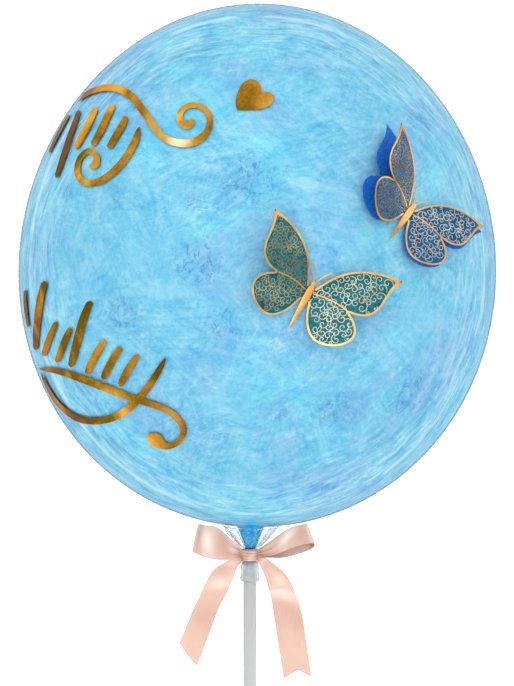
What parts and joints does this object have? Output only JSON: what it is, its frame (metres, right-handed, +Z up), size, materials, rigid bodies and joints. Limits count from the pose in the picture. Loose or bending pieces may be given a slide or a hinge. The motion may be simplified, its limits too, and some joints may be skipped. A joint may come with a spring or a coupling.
{
  "type": "bubble balloon",
  "caption": "Clear bubble balloon with a smaller balloon blown up inside, ribbon bow, cup and tube stick, lying front up; folded butterflies and a heart on its front.",
  "frame": {"origin": "middle of the plan, on the ground the balloon lies on", "axes": "+Y along the ground from the stick's far end to the crown, +X to the right seen from the front, +Z up, the way the decorated front faces but for a tilt of 13 degrees"},
  "size_m": [0.457, 1.216, 0.4839],
  "materials": {
    "clear_film": "thin clear film, glossy, the blue of the balloon inside showing through",
    "clear_plastic": "clear moulded plastic, slightly cloudy",
    "satin_ribbon": "peach satin",
    "teal_foil": "metallic teal foil card with gold scrollwork",
    "blue_foil": "metallic blue foil card with gold scrollwork",
    "gold_foil": "metallic gold foil",
    "blue_card": "matt deep-blue card"
  },
  "bodies": {
    "root": {"bubble": "clear_film", "ribbon_bow": "satin_ribbon", "cup": "clear_plastic", "stick": "clear_plastic", "teal_butterfly": "teal_foil", "blue_butterfly_card": "blue_card", "blue_butterfly_filigree": "blue_foil", "heart_sticker": "gold_foil"}
  },
  "joints": []
}
